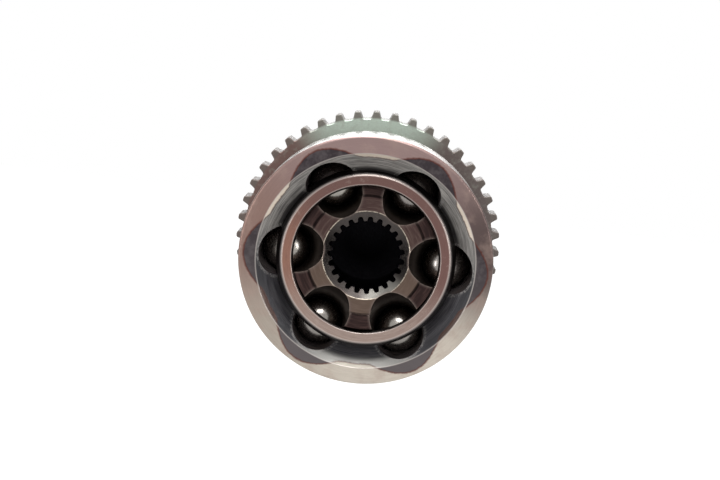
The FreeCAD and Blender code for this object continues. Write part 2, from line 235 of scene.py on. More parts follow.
def closeUp(piece):
    # merges doubled points of a spun or extruded shell and points its faces outwards
    makeActive(piece)
    bpy.ops.object.mode_set(mode="EDIT")
    bpy.ops.mesh.select_all(action="SELECT")
    bpy.ops.mesh.remove_doubles(threshold=mergeDistance * mm)
    bpy.ops.mesh.normals_make_consistent(inside=False)
    bpy.ops.object.mode_set(mode="OBJECT")


def turnOnLathe(name, corners, steps, closed=True, segments=3):
    # spins an outline about the Y axis
    outline = softened(corners, closed, segments)
    deselectAll()
    bpy.ops.mesh.primitive_circle_add(vertices=len(outline), radius=1, fill_type="NOTHING")
    piece = bpy.context.object
    piece.name = name
    for vertex, point in zip(piece.data.vertices, outline):
        vertex.co = (point[0] * mm, point[1] * mm, 0)
    bpy.ops.object.mode_set(mode="EDIT")
    bpy.ops.mesh.select_mode(type="EDGE")
    if not closed:
        bpy.ops.mesh.select_all(action="DESELECT")
        bpy.ops.object.mode_set(mode="OBJECT")
        last = len(outline) - 1
        for edge in piece.data.edges:
            edge.select = set(edge.vertices) == {0, last}
        bpy.ops.object.mode_set(mode="EDIT")
        bpy.ops.mesh.delete(type="EDGE")
    bpy.ops.mesh.select_all(action="SELECT")
    bpy.ops.mesh.spin(steps=steps, angle=2 * math.pi, center=(0, 0, 0), axis=(0, 1, 0))
    closeUp(piece)
    return piece


def cutAway(piece, cutter):
    cut = piece.modifiers.new("cut", "BOOLEAN")
    cut.operation = "DIFFERENCE"
    cut.solver = "EXACT"
    cut.object = cutter
    makeActive(piece)
    bpy.ops.object.modifier_apply(modifier=cut.name)
    bpy.data.objects.remove(cutter)


def tilt(piece, degrees):
    # turns a piece about the X axis, mouth side up, in its mesh
    piece.data.transform(Matrix.Rotation(math.radians(-degrees), 4, "X"))


def finishPiece(piece, body, slot, materials, *nodes):
    makeActive(piece)
    bpy.ops.object.shade_smooth_by_angle(angle=math.radians(smoothAngle))
    for material in materials:
        piece.data.materials.append(material)
    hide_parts(*nodes)
    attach(piece, body)


trackSizes = {
    "count": 6,
    "swing": 27.663,            # track's middle line, about its own centre
    "offset": 3.0,              # that centre, from the joint's centre
    "radius": 8.1775,
    "mouthAngle": 80,
    "rearAngle": 48,
    "flare": 1.3,               # the track opens by this at the mouth
    "flareFrom": -4,
    "flareTo": -18,
    "sides": 64,
    "steps": 72,
}


def trackCutter(centreAlong, first, last, azimuth):
    # a round bar bent along a ball track, or a whole ring of it
    s = trackSizes
    deselectAll()
    whole = last - first >= 360
    bpy.ops.mesh.primitive_circle_add(
        vertices=s["sides"], radius=s["radius"] * mm, fill_type="NOTHING" if whole else "NGON",
        location=(s["swing"] * mm, 0, 0), rotation=(math.pi / 2, 0, 0))
    cutter = bpy.context.object
    makeActive(cutter)
    bpy.ops.object.transform_apply()
    cutter.data.transform(Matrix.Rotation(math.radians(first), 4, "Z"))
    bpy.ops.object.mode_set(mode="EDIT")
    bpy.ops.mesh.select_all(action="SELECT")
    bpy.ops.mesh.spin(steps=s["steps"] * (2 if whole else 1), angle=math.radians(last - first),
                      center=(0, 0, 0), axis=(0, 0, -1))
    closeUp(cutter)
    for vertex in cutter.data.vertices if not whole else ():
        angle = math.degrees(math.atan2(vertex.co.y, vertex.co.x))
        share = (angle - s["flareFrom"]) / (s["flareTo"] - s["flareFrom"])
        middle = Vector((vertex.co.x, vertex.co.y, 0)).normalized() * s["swing"] * mm
        vertex.co += (vertex.co - middle) * min(max(share, 0), 1) * s["flare"] / s["radius"]
    cutter.data.transform(Matrix.Translation((0, centreAlong * mm, 0)))
    cutter.data.transform(Matrix.Rotation(math.radians(-azimuth), 4, "Y"))
    return cutter


def tone(red, green, blue):
    # a screen colour, each part out of 255
    return tuple(((part / 255 + 0.055) / 1.055) ** 2.4 for part in (red, green, blue)) + (1,)


class Finish:
    # the nodes of one finish, in the piece's own untilted frame, in millimetres
    def __init__(self, name, tilt=0, metal=1.0):
        self.material = bpy.data.materials.new(name)
        self.material.use_nodes = True
        self.tree = self.material.node_tree
        self.shader = self.tree.nodes["Principled BSDF"]
        self.shader.inputs["Metallic"].default_value = metal
        coordinates = self.node("ShaderNodeTexCoord").outputs["Object"]
        mapping = self.node("ShaderNodeMapping")
        mapping.inputs["Rotation"].default_value[0] = math.radians(tilt)
        mapping.inputs["Scale"].default_value = (1 / mm, 1 / mm, 1 / mm)
        self.link(coordinates, mapping.inputs["Vector"])
        self.place = mapping.outputs[0]
        parts = self.node("ShaderNodeSeparateXYZ")
        self.link(self.place, parts.inputs[0])
        self.x, self.y, self.z = parts.outputs
        self.radius = self.length(self.x, self.z)
        self.rightward = self.math("DIVIDE", self.x, self.radius)
        self.upward = self.math("DIVIDE", self.z, self.radius)
        self.azimuth = self.math("ARCTAN2", self.z, self.x)

    def node(self, kind):
        return self.tree.nodes.new(kind)

    def link(self, source, target):
        self.tree.links.new(source, target)

    def feed(self, value, target):
        if isinstance(value, bpy.types.NodeSocket):
            self.link(value, target)
        else:
            target.default_value = value

    def math(self, operation, first, second=None, third=None):
        node = self.node("ShaderNodeMath")
        node.operation = operation
        for value, target in zip((first, second, third), node.inputs):
            if value is not None:
                self.feed(value, target)
        return node.outputs[0]

    def times(self, first, *others):
        for value in others:
            first = self.math("MULTIPLY", first, value)
        return first

    def length(self, first, second):
        return self.math("SQRT", self.math("ADD", self.times(first, first), self.times(second, second)))

    def fade(self, value, low, high, start=0.0, end=1.0):
        # a soft step from start at low to end at high
        node = self.node("ShaderNodeMapRange")
        node.interpolation_type = "SMOOTHSTEP"
        for number, part in enumerate((value, low, high, start, end)):
            self.feed(part, node.inputs[number])
        return node.outputs[0]

    def band(self, value, first, full, fallFrom, last):
        # rises from first to full and falls again from fallFrom to last
        return self.times(self.fade(value, first, full), self.fade(value, last, fallFrom))

    def mix(self, share, first, second):
        node = self.node("ShaderNodeMix")
        node.data_type = "RGBA"
        self.feed(share, node.inputs[0])
        self.feed(first, node.inputs[6])
        self.feed(second, node.inputs[7])
        return node.outputs[2]

    def paint(self, base, colour, *shares):
        # a colour over the base, as strong as its shares multiplied
        return self.mix(self.times(*shares), base, colour)

    def vector(self, x, y, z):
        node = self.node("ShaderNodeCombineXYZ")
        for value, target in zip((x, y, z), node.inputs):
            self.feed(value, target)
        return node.outputs[0]

    def noise(self, scale, detail=3, roughness=0.55, vector=None):
        # from 0 to 1, the scale is per millimetre
        node = self.node("ShaderNodeTexNoise")
        self.link(vector or self.place, node.inputs["Vector"])
        node.inputs["Scale"].default_value = scale
        node.inputs["Detail"].default_value = detail
        node.inputs["Roughness"].default_value = roughness
        return node.outputs[0]

    def turningMarks(self, fine, around, along=0.0, detail=4):
        # noise drawn out round the axis, as a lathe or grinder leaves it
        across = self.math("ADD", self.times(self.radius, fine), self.times(self.y, along))
        place = self.vector(self.times(self.rightward, around), self.times(self.upward, around), across)
        return self.noise(1, detail, 0.6, place)

    def trackDistance(self, centreAlong):
        # how far a point is outside the nearest ball track
        halfPitch = math.pi / trackSizes["count"]
        turn = self.math("WRAP", self.azimuth, halfPitch, -halfPitch)
        out = self.times(self.radius, self.math("COSINE", turn))
        side = self.times(self.radius, self.math("SINE", turn))
        along = self.math("SUBTRACT", self.y, centreAlong)
        ring = self.math("SUBTRACT", self.length(out, along), trackSizes["swing"])
        return self.math("SUBTRACT", self.length(ring, side), trackSizes["radius"])

    def colour(self, value):
        self.feed(value, self.shader.inputs["Base Color"])

    def metal(self, value):
        self.feed(value, self.shader.inputs["Metallic"])

    def roughness(self, low, high, share):
        self.feed(self.fade(share, 0.25, 0.75, low, high), self.shader.inputs["Roughness"])

    def bump(self, height, depth):
        node = self.node("ShaderNodeBump")
        node.inputs["Strength"].default_value = 1
        node.inputs["Distance"].default_value = depth * mm
        self.link(height, node.inputs["Height"])
        self.link(node.outputs[0], self.shader.inputs["Normal"])


# In the looks below a tone is a colour, and a pair is where it starts and where it is full:
# a place in millimetres, a height or side from -1 to 1, or a value of the noise.
# Two more numbers are its share at each end.

mouthLooks = {
    # painted light: the face is darker on the right, lighter at the top and much lighter at the bottom, as the
    # light falls on it
    "left": tone(137, 112, 104),
    "right": tone(90, 77, 75),
    "sideways": (-0.6, 0.9),
    "top": tone(145, 123, 120),
    "topHeight": (0.35, 0.97),
    "litBottomLeft": tone(168, 158, 147),
    "litBottomRight": tone(199, 190, 178),
    "litBottomSideways": (-0.8, 0.0),
    "lowHeight": (0.1, -0.75),
    "stain": tone(164, 142, 132),
    "stainSpots": (0.45, 0.7, 0, 0.35),
    "mark": tone(96, 82, 80),
    "markSpots": (0.35, 0.7, 0, 0.1),
    # the heat tint reaches out furthest at each track
    "tintReach": 37.35,
    "tintSwell": 3.2,
    "tintLeast": 35.3,
    "tintSoftness": 0.8,
    "tintRagged": 0.7,
    # painted light: the heat tint is darker at the top and lighter at the bottom
    "tintShadedTop": tone(60, 54, 57),
    "tintLitBottom": tone(96, 90, 91),
    "tintLightHeight": (0.4, -0.8),
    "tintCloud": tone(100, 94, 95),
    "tintCloudSpots": (0.4, 0.7, 0, 0.5),
    "tintEdge": (0.12, -0.12),
    "tintLine": tone(92, 50, 42),
    "tintLineBand": (-0.5, -0.05, 0.05, 0.55),
    "tintLineShare": 0.7,
    # the ground cone inside the mouth: streaked, with painted light lighter towards the top, a painted
    # highlight low down near its outer edge, and painted shade deep inside and on the lower sides
    "coneEdge": (36.55, 36.4),
    "coneHeight": (-0.25, 0.3),
    "coneDarkLow": tone(52, 51, 56),
    "coneDarkHigh": tone(90, 87, 86),
    "coneBrightLow": tone(92, 90, 93),
    "coneBrightHigh": tone(166, 162, 157),
    "coneStreaks": (0.36, 0.66),
    "coneLit": tone(156, 154, 149),
    "coneLitHeight": (-0.78, -0.95),
    "coneLitRadius": (32.8, 34.8),
    "coneInnerShade": tone(26, 24, 26),
    "coneInnerShadeRadius": (32.0, 31.1),
    "coneShade": tone(30, 29, 33),
    "coneShadeBand": (-0.85, -0.7, -0.15, 0.1),
    "coneShadeRadius": (33.2, 34.8),
    "coneShare": 0.8,           # of the three above
    # the bare sliver outside the tint, with painted light: dark low down, bright at the top, and a lighter
    # painted patch at the very bottom
    "bareShadedLow": tone(74, 62, 58),
    "bareLitTop": tone(220, 207, 192),
    "bareHeight": (-0.3, 0.3),
    "bareLitFoot": tone(120, 116, 108),
    "bareLitFootHeight": (-0.75, -0.98),
    "bareEdge": (-0.15, 0.15),
    "coneLine": tone(70, 44, 38),
    "coneLineBand": (-0.45, -0.05, 0.05, 0.3),
    "coneLineShare": 0.6,
    # bare edges with a painted edge highlight: round the mouth, and chipped along the tracks
    "rim": tone(190, 182, 176),
    "rimBand": (36.15, 36.4, 36.5, 36.75),
    "rimShare": 0.5,
    "chip": tone(160, 156, 152),
    "chipSpots": (0.42, 0.6),
    "chipReach": (1.85, 1.35),
    "chipShare": 0.6,
    "dullTint": 0.65,           # the tinted cone is this much less metal
    "gloss": (0.3, 0.46),
    "grooveDepth": 0.007,
}


def faceSteel():
    # the ground face and the hardened mouth cone, with the heat tint round each track
    c = mouthLooks
    f = Finish("mouthSteel")
    # painted light and shade on the ground face, by side and height
    face = f.mix(f.fade(f.rightward, *c["sideways"]), c["left"], c["right"])
    face = f.paint(face, c["top"], f.fade(f.upward, *c["topHeight"]))
    low = f.mix(f.fade(f.rightward, *c["litBottomSideways"]), c["litBottomLeft"], c["litBottomRight"])
    face = f.paint(face, low, f.fade(f.upward, *c["lowHeight"]))
    face = f.paint(face, c["stain"], f.fade(f.noise(0.16, 4, 0.6), *c["stainSpots"]))
    marks = f.turningMarks(2.2, 6)
    face = f.paint(face, c["mark"], f.fade(marks, *c["markSpots"]))

    wave = f.times(f.math("COSINE", f.times(f.azimuth, trackSizes["count"])), c["tintSwell"])
    wave = f.math("SMOOTH_MAX", f.math("ADD", wave, c["tintReach"]), c["tintLeast"], c["tintSoftness"])
    ragged = f.times(f.math("SUBTRACT", f.noise(0.9, 3), 0.5), c["tintRagged"])
    reach = f.math("SUBTRACT", f.radius, f.math("ADD", wave, ragged))
    # painted light on the tint, lighter towards the bottom
    tint = f.mix(f.fade(f.upward, *c["tintLightHeight"]), c["tintShadedTop"], c["tintLitBottom"])
    tint = f.paint(tint, c["tintCloud"], f.fade(f.noise(0.35, 4), *c["tintCloudSpots"]))
    face = f.paint(face, tint, f.fade(reach, *c["tintEdge"]))
    face = f.paint(face, c["tintLine"], f.band(reach, *c["tintLineBand"]), c["tintLineShare"])

    fineLines = f.times(f.turningMarks(5.5, 3.5, -2.0, detail=2), 0.6)
    streaks = f.math("ADD", fineLines, f.times(f.turningMarks(0.9, 4, -0.5, detail=3), 0.4))
    # painted light on the cone: lighter towards the top, a painted highlight low near the outer edge, painted
    # shade deep inside and on the lower sides
    height = f.fade(f.upward, *c["coneHeight"])
    dark = f.mix(height, c["coneDarkLow"], c["coneDarkHigh"])
    bright = f.mix(height, c["coneBrightLow"], c["coneBrightHigh"])
    cone = f.mix(f.fade(streaks, *c["coneStreaks"]), dark, bright)
    cone = f.paint(cone, c["coneLit"], f.fade(f.upward, *c["coneLitHeight"]),
                   f.fade(f.radius, *c["coneLitRadius"]), c["coneShare"])
    cone = f.paint(cone, c["coneInnerShade"], f.fade(f.radius, *c["coneInnerShadeRadius"]), height, c["coneShare"])
    cone = f.paint(cone, c["coneShade"], f.fade(f.radius, *c["coneShadeRadius"]),
                   f.band(f.upward, *c["coneShadeBand"]), c["coneShare"])
    # painted light and shade on the bare sliver, by height
    bare = f.mix(f.fade(f.upward, *c["bareHeight"]), c["bareShadedLow"], c["bareLitTop"])
    bare = f.paint(bare, c["bareLitFoot"], f.fade(f.upward, *c["bareLitFootHeight"]))
    cone = f.paint(cone, bare, f.fade(reach, *c["bareEdge"]))
    cone = f.paint(cone, c["coneLine"], f.band(reach, *c["coneLineBand"]), c["coneLineShare"])

    inside = f.fade(f.radius, *c["coneEdge"])
    steel = f.mix(inside, face, cone)
    # bare chipped metal and a painted edge highlight along the mouth's edge and the tracks
    steel = f.paint(steel, c["rim"], f.band(f.radius, *c["rimBand"]), c["rimShare"])
    chips = f.fade(f.noise(1.4, 4, 0.7), *c["chipSpots"])
    beside = f.fade(f.trackDistance(-trackSizes["offset"]), *c["chipReach"])
    f.colour(f.paint(steel, c["chip"], beside, chips, inside, c["chipShare"]))
    tinted = f.fade(reach, *reversed(c["bareEdge"]))
    f.metal(f.math("SUBTRACT", 1, f.times(inside, tinted, c["dullTint"])))
    f.roughness(*c["gloss"], marks)
    f.bump(f.mix(inside, marks, streaks), c["grooveDepth"])
    return f.material


landLooks = {
    "dark": tone(142, 140, 137),
    "bright": tone(168, 166, 162),
    "markSpots": (0.3, 0.7),
    "warm": tone(160, 152, 146),
    "warmSpots": (0.55, 0.75, 0, 0.4),
    # painted shade: the boot land darker on its right side
    "dull": tone(104, 96, 92),  # the boot land's right side
    "rightShadeSideways": (0.25, 0.65),
    "rightShadeAlong": (6, 5),
    "dullRoughness": 0.25,
    "gloss": (0.25, 0.75, 0.16, 0.32),
    "grooveDepth": 0.003,
}


def landSteel():
    # bright turned lands: boot land, hub face, stub journals
    c = landLooks
    f = Finish("turnedSteel")
    marks = f.turningMarks(0.6, 3, 3.2)
    base = f.mix(f.fade(marks, *c["markSpots"]), c["dark"], c["bright"])
    base = f.paint(base, c["warm"], f.fade(f.noise(0.12, 3), *c["warmSpots"]))
    # painted shade on the boot land's right side, which is also made rougher
    dull = f.fade(f.rightward, *c["rightShadeSideways"])
    f.colour(f.paint(base, c["dull"], dull, f.fade(f.y, *c["rightShadeAlong"])))
    gloss = f.fade(marks, *c["gloss"])
    f.feed(f.math("ADD", gloss, f.times(dull, c["dullRoughness"])), f.shader.inputs["Roughness"])
    f.bump(marks, c["grooveDepth"])
    return f.material


cavityLooks = {
    "dark": tone(72, 66, 68),
    "bright": tone(98, 90, 88),
    "markSpots": (0.35, 0.7),
    "warm": tone(104, 90, 84),
    "warmSpots": (0.5, 0.75, 0, 0.5),
    # painted shade: near black deep in the cavity
    "depth": tone(12, 11, 13),
    "deepShadeAlong": (19, 24),
    "metalAlong": (10, 18, 0.4, 1),
    "gloss": (0.24, 0.4),
}


def trackSteel():
    # hardened inner sphere and ball tracks, oily brown-black
    c = cavityLooks
    f = Finish("trackSteel")
    marks = f.turningMarks(0.8, 5, 1.6)
    base = f.mix(f.fade(marks, *c["markSpots"]), c["dark"], c["bright"])
    base = f.paint(base, c["warm"], f.fade(f.noise(0.2, 3), *c["warmSpots"]))
    # painted shade deep in the cavity
    f.colour(f.paint(base, c["depth"], f.fade(f.y, *c["deepShadeAlong"])))
    f.metal(f.fade(f.y, *c["metalAlong"]))
    f.roughness(*c["gloss"], marks)
    return f.material


forgedLooks = {
    "dark": tone(96, 90, 86),
    "bright": tone(134, 128, 120),
    "grainSpots": (0.35, 0.7),
    "mark": tone(74, 68, 66),
    "markSpots": (0.45, 0.75, 0, 0.35),
    "metal": 0.75,
    "gloss": (0.42, 0.6),
    "grainDepth": 0.008,
}


def forgedSteel():
    # the bell's back and grooves: grey-brown phosphate on turned steel
    c = forgedLooks
    f = Finish("forgedSteel", metal=c["metal"])
    grain = f.noise(1.1, 5, 0.65)
    marks = f.turningMarks(0.9, 3, 1.4)
    base = f.mix(f.fade(grain, *c["grainSpots"]), c["dark"], c["bright"])
    f.colour(f.paint(base, c["mark"], f.fade(marks, *c["markSpots"])))
    f.roughness(*c["gloss"], grain)
    f.bump(grain, c["grainDepth"])
    return f.material


stubLooks = {
    "dark": tone(120, 118, 116),
    "bright": tone(160, 157, 152),
    "grainSpots": (0.35, 0.7),
    "thread": tone(176, 170, 158),
    "threadAlong": (84, 100, 0, 0.5),
    "gloss": (0.26, 0.44),
}


def splineSteel():
    # rolled spline and thread of the stub
    c = stubLooks
    f = Finish("splineSteel")
    grain = f.noise(0.8, 4, 0.6)
    base = f.mix(f.fade(grain, *c["grainSpots"]), c["dark"], c["bright"])
    f.colour(f.paint(base, c["thread"], f.fade(f.y, *c["threadAlong"])))
    f.roughness(*c["gloss"], grain)
    return f.material


ringLooks = {
    "left": tone(118, 94, 88),
    "right": tone(108, 98, 95),
    "sideways": (-0.9, 0.9),
    "low": tone(122, 116, 108),
    "lowHeight": (0.0, -0.9),
    # painted highlight: a bright grey-green band at the top of the ring, where the light falls
    "top": tone(186, 200, 188),
    "topHeight": (0.78, 0.99),
    "highlightLean": -0.08,           # the bright top sits a little to the left
    "speck": tone(70, 60, 56),
    "speckSpots": (0.38, 0.62, 0.22, 0),
    "cloud": tone(150, 150, 140),
    "cloudSpots": (0.5, 0.7, 0, 0.35),
    "teeth": tone(98, 89, 83),
    "teethRadius": (45.0, 45.9),
    "flanks": tone(66, 60, 56),
    "flanksBand": (17.95, 18.15, 25.25, 25.45),
    "toothShare": 0.85,
    "metal": 0.7,
    "toothMetal": 0.6,          # less metal on teeth and flanks by this
    "gloss": (0.45, 0.6),
    "speckDepth": 0.008,
}


def ringSteel():
    # the sensor ring's phosphate, brown at the sides, with a grey-green painted highlight at the top; teeth
    # speckled
    c = ringLooks
    f = Finish("ringSteel")
    base = f.mix(f.fade(f.rightward, *c["sideways"]), c["left"], c["right"])
    base = f.paint(base, c["low"], f.fade(f.upward, *c["lowHeight"]))
    # painted highlight at the top of the ring
    leaning = f.math("ADD", f.upward, f.times(f.rightward, c["highlightLean"]))
    base = f.paint(base, c["top"], f.fade(leaning, *c["topHeight"]))
    specks = f.noise(2.2, 3, 0.7)
    base = f.paint(base, c["speck"], f.fade(specks, *c["speckSpots"]))
    base = f.paint(base, c["cloud"], f.fade(f.noise(0.5, 4), *c["cloudSpots"]))
    teeth = f.fade(f.radius, *c["teethRadius"])
    base = f.paint(base, c["teeth"], teeth, c["toothShare"])
    flanks = f.band(f.y, *c["flanksBand"])
    f.colour(f.paint(base, c["flanks"], flanks, c["toothShare"]))
    dull = f.times(f.math("MAXIMUM", teeth, flanks), c["toothMetal"])
    f.metal(f.math("SUBTRACT", c["metal"], dull))
    f.roughness(*c["gloss"], specks)
    f.bump(specks, c["speckDepth"])
    return f.material


cageLooks = {
    # painted light and shade on the heat-browned rims: darker on the right and at the top, pale at the bottom
    "left": tone(144, 107, 93),
    "right": tone(116, 88, 83),
    "sideways": (-0.7, 0.8),
    "top": tone(112, 86, 81),
    "topHeight": (0.0, 0.85),
    "low": tone(160, 142, 133),
    "lowHeight": (-0.1, -0.95),
    "mark": tone(96, 74, 70),
    "markSpots": (0.35, 0.7, 0, 0.3),
    "wear": tone(176, 160, 150),
    "wearSpots": (0.56, 0.72, 0, 0.22),
    "sphereDark": tone(54, 50, 50),
    "sphereBright": tone(74, 70, 68),
    "sphereSpots": (0.35, 0.7),
    "rimAlong": (13.30, 13.38),
    # bare metal and a painted edge highlight on both edges of the rim
    "edge": tone(196, 184, 178),
    "outerEdgeBand": (27.35, 27.65, 27.95, 28.35),
    "innerEdgeRadius": (25.05, 24.8),
    "edgeAlong": (12.4, 12.9),
    "edgeShare": 0.5,
    "gloss": (0.25, 0.42),
    "grooveDepth": 0.008,
}


def cageSteel():
    # heat-browned ground rims, dark spheres between them
    c = cageLooks
    f = Finish("cageSteel", tilt=cageSizes["tilt"])
    # painted light and shade on the rims, by side and height
    rim = f.mix(f.fade(f.rightward, *c["sideways"]), c["left"], c["right"])
    rim = f.paint(rim, c["top"], f.fade(f.upward, *c["topHeight"]))
    rim = f.paint(rim, c["low"], f.fade(f.upward, *c["lowHeight"]))
    marks = f.turningMarks(2.4, 5, 1.4)
    rim = f.paint(rim, c["mark"], f.fade(marks, *c["markSpots"]))
    rim = f.paint(rim, c["wear"], f.fade(f.noise(0.35, 4, 0.7), *c["wearSpots"]))
    sphere = f.mix(f.fade(marks, *c["sphereSpots"]), c["sphereDark"], c["sphereBright"])
    fromMiddle = f.math("ABSOLUTE", f.y)
    base = f.mix(f.fade(fromMiddle, *c["rimAlong"]), sphere, rim)
    # bare metal and a painted edge highlight on the rim's edges
    outer = f.band(f.radius, *c["outerEdgeBand"])
    edges = f.math("MAXIMUM", outer, f.fade(f.radius, *c["innerEdgeRadius"]))
    f.colour(f.paint(base, c["edge"], edges, f.fade(fromMiddle, *c["edgeAlong"]), c["edgeShare"]))
    f.roughness(*c["gloss"], marks)
    f.bump(marks, c["grooveDepth"])
    return f.material


raceLooks = {
    # painted light: the boss lighter low down and darker at the top
    "bossLitLow": tone(94, 79, 70),
    "bossShadedTop": tone(70, 54, 52),
    "bossHeight": (-0.6, 0.6),
    "bossMark": tone(112, 96, 88),
    "bossMarkSpots": (0.4, 0.7, 0, 0.35),
    # painted shade: the shoulder darker where the cage shades it, then a near-black painted shadow line at the
    # step between boss and shoulder
    "shoulderDark": tone(48, 37, 36),
    "shoulderBright": tone(70, 54, 51),
    "shoulderSpots": (0.4, 0.7),
    "shoulderRadius": (19.7, 20.0),
    "step": tone(20, 15, 15),
    "stepShadowBand": (19.2, 19.5, 20.15, 20.45),
    "stepShadowShare": 0.8,
    # the bore's chamfer: painted shade at the sides, and painted light towards the lower right
    "chamferShadedSide": tone(14, 12, 12),
    "chamferTop": tone(72, 67, 65),
    "chamferHeight": (0.15, 0.9),
    "chamferLit": tone(114, 112, 107),
    "chamferLitSpan": (0.82, 1.0),
    "chamferLitTowards": -60,
    "chamferSpeck": tone(110, 104, 97),
    "chamferSpeckSpots": (0.4, 0.75, 0, 0.12),
    "chamferRadius": (14.85, 14.6),
    # a chipped bare line round the chamfer's edge, also a painted edge highlight
    "chamferLine": tone(196, 184, 168),
    "chamferLineBand": (14.45, 14.65, 14.75, 14.95),
    "chamferLineShare": 0.8,
    "chipSpots": (0.32, 0.55),
    # the tracks and the bare edges beside them, their chipped bright line also a painted edge highlight
    "beside": tone(104, 92, 88),
    "besideReach": (1.0, 0.2),
    "besideShare": 0.35,
    "trackEdge": tone(160, 146, 134),
    "trackEdgeReach": (0.3, 0.1),
    "trackEdgeShare": 0.3,
    "track": tone(66, 58, 54),
    "trackReach": (0.05, 0.0),
    "bore": tone(27, 25, 32),   # only oil and shadow
    "boreRadius": (13.2, 13.0),
    "boreAlong": (-8.55, -8.3),
    "gloss": (0.28, 0.46),
    "grooveDepth": 0.006,
}


def raceSteel():
    # brown ground boss and shoulder, grey chamfer, oily tracks and bore
    c = raceLooks
    f = Finish("raceSteel", tilt=raceSizes["tilt"])
    marks = f.turningMarks(2.0, 4, 1.2)
    # painted light and shade on the boss, by height
    boss = f.mix(f.fade(f.upward, *c["bossHeight"]), c["bossLitLow"], c["bossShadedTop"])
    boss = f.paint(boss, c["bossMark"], f.fade(marks, *c["bossMarkSpots"]))
    shoulder = f.mix(f.fade(marks, *c["shoulderSpots"]), c["shoulderDark"], c["shoulderBright"])
    base = f.mix(f.fade(f.radius, *c["shoulderRadius"]), boss, shoulder)
    # painted shadow at the step between boss and shoulder
    base = f.paint(base, c["step"], f.band(f.radius, *c["stepShadowBand"]), c["stepShadowShare"])

    # painted shade at the chamfer's sides and painted light towards the lower right
    height = f.fade(f.math("ABSOLUTE", f.upward), *c["chamferHeight"])
    chamfer = f.mix(height, c["chamferShadedSide"], c["chamferTop"])
    towards = math.radians(c["chamferLitTowards"])
    lit = f.math("ADD", f.times(f.rightward, math.cos(towards)), f.times(f.upward, math.sin(towards)))
    chamfer = f.paint(chamfer, c["chamferLit"], f.fade(lit, *c["chamferLitSpan"]))
    chamfer = f.paint(chamfer, c["chamferSpeck"], f.fade(f.noise(2.4, 4), *c["chamferSpeckSpots"]))
    base = f.paint(base, chamfer, f.fade(f.radius, *c["chamferRadius"]))
    chips = f.fade(f.noise(1.3, 4, 0.7), *c["chipSpots"])
    # chipped bare metal and a painted edge highlight on the chamfer's edge and the track edges
    base = f.paint(base, c["chamferLine"], f.band(f.radius, *c["chamferLineBand"]), chips,
                   c["chamferLineShare"])

    away = f.trackDistance(trackSizes["offset"])
    base = f.paint(base, c["beside"], f.fade(away, *c["besideReach"]), c["besideShare"])
    base = f.paint(base, c["trackEdge"], f.fade(away, *c["trackEdgeReach"]), chips, c["trackEdgeShare"])
    base = f.paint(base, c["track"], f.fade(away, *c["trackReach"]))
    inBore = f.times(f.fade(f.radius, *c["boreRadius"]), f.fade(f.y, *c["boreAlong"]))
    f.colour(f.paint(base, c["bore"], inBore))
    f.roughness(*c["gloss"], marks)
    f.bump(marks, c["grooveDepth"])
    return f.material


ballLooks = {
    "dark": tone(136, 131, 127),
    "bright": tone(158, 154, 147),
    "cloudSpots": (0.35, 0.7),
    "gloss": (0.16, 0.3),
}


def ballSteel():
    # polished, with a thin film of oil and fine scratches
    c = ballLooks
    f = Finish("ballSteel")
    f.colour(f.mix(f.fade(f.noise(0.15, 2), *c["cloudSpots"]), c["dark"], c["bright"]))
    f.roughness(*c["gloss"], f.noise(1.6, 5, 0.75))
    return f.material


bellSizes = {
    "innerSphere": 31.36,
    "cavityAngles": (61.2, -14.35),
    "cavityFloor": 27.5,
    "floorFlat": 7,
    "coneStart": (33.4, -10.35),
    "face": -13.0,
    "coneAtFace": 36.5,
    "coneAngle": 49.5,
    "outside": 42.3,
    "landEnd": 4.0,
    "grooveFloor": 39.6,
    "grooveEnd": 10.0,
    "ringStop": 40.4,
    "ringStopRise": 0.8,
    "ringSeat": 39.0,
    "ringFront": 17.7,
    "back": 38.0,
    "shoulder": 11.0,
    "hubFace": 23.5,
    "hubSeat": 42.0,
    "root": 14.6,
    "spline": 13.9,
    "splineDepth": 1.05,
    "splineTeeth": 26,
    "splineStart": 46.0,
    "splineEnd": 88.0,
    "splineChamfer": 1.5,
    "neck": 9.9,
    "thread": 11.0,
    "threadRoot": 10.1,
    "threadStart": 91.0,
    "threadChamfer": (0.4, 0.9),    # at its start and at the stub's end
    "endChamfer": 1.5,
    "pinHole": 2.0,
    "pinFromEnd": 8.0,
    "pinCutLength": 30,
    "pinCutSides": 40,
    "centreHole": 3.2,
    "centreDepth": 5.5,
    "end": 117.0,
    "arcSteps": 44,
    "cornerSteps": 6,
    "steps": 208,
}

# how far each of the bell's finishes reaches from the edges named above
bellReaches = {
    "coneSlack": 0.12,
    "slopeSlack": 0.05,
    "faceDepth": 0.85,
    "faceInside": 0.5,
    "coneBack": -7,
    "landDepth": 0.9,
    "cavityWall": 5,
    "cavityBack": 27.6,
    "hubFrom": 0.6,
    "stubSlack": 0.05,
}


def bellRegion(place, normal):
    # which of the bell's finishes a face takes, by its place and slope
    mouth, turned, tracks, forged, splined = range(5)
    s, r = bellSizes, bellReaches
    angle = math.radians(s["coneAngle"])
    radius = math.hypot(place.x, place.z)
    outward = (normal.x * place.x + normal.z * place.z) / max(radius, 0.01)
    onCone = abs((radius - s["coneAtFace"]) / math.tan(angle) + place.y - s["face"]) < r["coneSlack"]
    if place.y < s["face"] + r["faceDepth"] and radius > s["coneAtFace"] - r["faceInside"]:
        return mouth
    if onCone and place.y < r["coneBack"] and abs(outward + math.cos(angle)) < r["slopeSlack"]:
        return mouth
    if radius > s["outside"] - r["landDepth"] and place.y < s["landEnd"]:
        return turned
    if radius < s["innerSphere"] + r["cavityWall"] and place.y < r["cavityBack"]:
        return tracks
    if s["back"] + r["hubFrom"] < place.y < s["splineStart"] - r["stubSlack"]:
        return turned
    if place.y >= s["splineStart"] - r["stubSlack"]:
        return splined
    return forged


